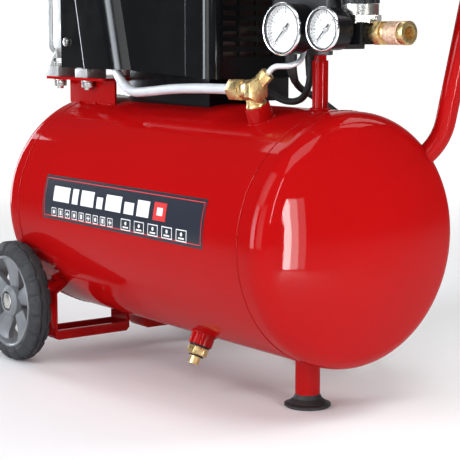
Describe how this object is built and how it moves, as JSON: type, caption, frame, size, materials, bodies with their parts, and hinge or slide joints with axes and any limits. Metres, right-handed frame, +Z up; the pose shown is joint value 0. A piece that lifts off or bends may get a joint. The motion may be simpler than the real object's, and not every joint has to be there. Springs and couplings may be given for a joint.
{
  "type": "air compressor",
  "caption": "Portable electric air compressor: horizontal tank on wheels and a foot, covered motor and piston pump, pressure switch, gauges, quick coupler and pull handle.",
  "frame": {"origin": "on the floor, under the middle of the compressor's overall length", "axes": "+X along the tank from the wheels towards the foot and handle, +Y to the right of someone who holds the handle and looks at the wheels, +Z up"},
  "size_m": [0.6114, 0.3846, 0.577],
  "materials": {
    "red_paint": "gloss",
    "black_plastic": "textured satin",
    "black_paint": "satin",
    "soft_black": "matt",
    "grey_plastic": "satin",
    "tyre_rubber": "matt",
    "cast_aluminium": "cast",
    "zinc_steel": "zinc plated",
    "motor_steel": "painted",
    "brass": "machined",
    "needle": "matt",
    "glass": "clear",
    "gasket": "matt",
    "pipe_metal": "drawn"
  },
  "bodies": {
    "frame": {"tank_barrel": "red_paint", "tank_end_front": "red_paint", "tank_end_rear": "red_paint", "wheel_bracket_left": "red_paint", "wheel_bracket_right": "red_paint", "pump_bracket": "red_paint", "foot_post": "red_paint", "riser_pipe": "red_paint", "handle_tube": "red_paint", "motor_cover": "black_plastic", "switch_cover": "black_plastic", "air_filter": "black_plastic", "terminal_box": "black_plastic", "mains_plug": "black_plastic", "motor_cradle": "black_paint", "regulator_body": "black_paint", "tank_gauge": "black_paint", "outlet_gauge": "black_paint", "rubber_foot": "soft_black", "handle_grip": "soft_black", "mains_cord": "soft_black", "mains_coil": "soft_black", "motor_lead": "soft_black", "cord_glands": "soft_black", "crankcase": "cast_aluminium", "crankcase_cover": "cast_aluminium", "cylinder": "cast_aluminium", "cylinder_head": "cast_aluminium", "switch_base": "cast_aluminium", "axle_fasteners": "zinc_steel", "mount_bolts": "zinc_steel", "head_bolts": "zinc_steel", "cover_screws": "zinc_steel", "motor_bearings": "zinc_steel", "motor_housing": "motor_steel", "stator": "motor_steel", "check_valve": "brass", "drain_body": "brass", "safety_valve": "brass", "coupler_body": "brass", "gauge_glasses": "glass", "crankcase_gasket": "gasket", "discharge_pipe": "pipe_metal", "unloader_pipe": "pipe_metal"},
    "wheel_left": {"wheel_rim_left": "grey_plastic", "tyre_left": "tyre_rubber"},
    "wheel_right": {"wheel_rim_right": "grey_plastic", "tyre_right": "tyre_rubber"},
    "shaft": {"rotor": "motor_steel", "crank_disc": "zinc_steel", "cooling_fan": "grey_plastic"},
    "piston_body": {"piston": "cast_aluminium"},
    "rod": {"connecting_rod": "cast_aluminium"},
    "switch_button": {"switch_knob": "black_plastic"},
    "regulator_screw": {"regulator_knob": "black_plastic"},
    "tank_pointer": {"tank_needle": "needle"},
    "outlet_pointer": {"outlet_needle": "needle"},
    "sleeve": {"coupler_sleeve": "brass"},
    "relief_pull": {"safety_pull": "zinc_steel"},
    "drain_handle": {"drain_screw": "brass"}
  },
  "joints": [
    {"name": "wheel_left_spin", "type": "hinge", "parent": "frame", "child": "wheel_left", "pos_m": [-0.23769, -0.13, 0.068], "axis": [0, 1, 0], "continuous": true},
    {"name": "wheel_right_spin", "type": "hinge", "parent": "frame", "child": "wheel_right", "pos_m": [-0.23769, 0.13, 0.068], "axis": [0, 1, 0], "continuous": true},
    {"name": "shaft_spin", "type": "hinge", "parent": "frame", "child": "shaft", "pos_m": [-0.11369, 0, 0.382], "axis": [1, 0, 0], "continuous": true},
    {"name": "piston_slide", "type": "slide", "parent": "frame", "child": "piston_body", "axis": [0, 0, 1], "range_m": [-0.04, 0]},
    {"name": "rod_swing", "type": "hinge", "parent": "piston_body", "child": "rod", "pos_m": [-0.22869, 0, 0.467], "axis": [1, 0, 0], "range_deg": [-17.9, 17.9]},
    {"name": "switch_button_slide", "type": "slide", "parent": "frame", "child": "switch_button", "axis": [0, 0, 1], "range_m": [0, 0.008]},
    {"name": "regulator_turn", "type": "hinge", "parent": "frame", "child": "regulator_screw", "pos_m": [0.20627, -0.0049, 0.404], "axis": [0, 0, 1], "range_deg": [0, 720]},
    {"name": "tank_needle_turn", "type": "hinge", "parent": "frame", "child": "tank_pointer", "pos_m": [0.14362, -0.04425, 0.375], "axis": [0.1132, -0.9936, 0], "range_deg": [-270, 0]},
    {"name": "outlet_needle_turn", "type": "hinge", "parent": "frame", "child": "outlet_pointer", "pos_m": [0.20363, -0.04446, 0.375], "axis": [0.1132, -0.9936, 0], "range_deg": [-270, 0]},
    {"name": "sleeve_slide", "type": "slide", "parent": "frame", "child": "sleeve", "axis": [-0.9936, -0.1132, 0], "range_m": [0, 0.004], "stiffness_N_per_m": 2500, "springref_m": -0.002},
    {"name": "relief_pull_slide", "type": "slide", "parent": "frame", "child": "relief_pull", "axis": [-0.1132, 0.9936, 0], "range_m": [0, 0.004], "stiffness_N_per_m": 2000, "springref_m": -0.002},
    {"name": "drain_turn", "type": "hinge", "parent": "frame", "child": "drain_handle", "pos_m": [0.02131, -0.06255, 0.03987], "axis": [0, -0.4226, -0.9063], "range_deg": [0, 360]}
  ]
}
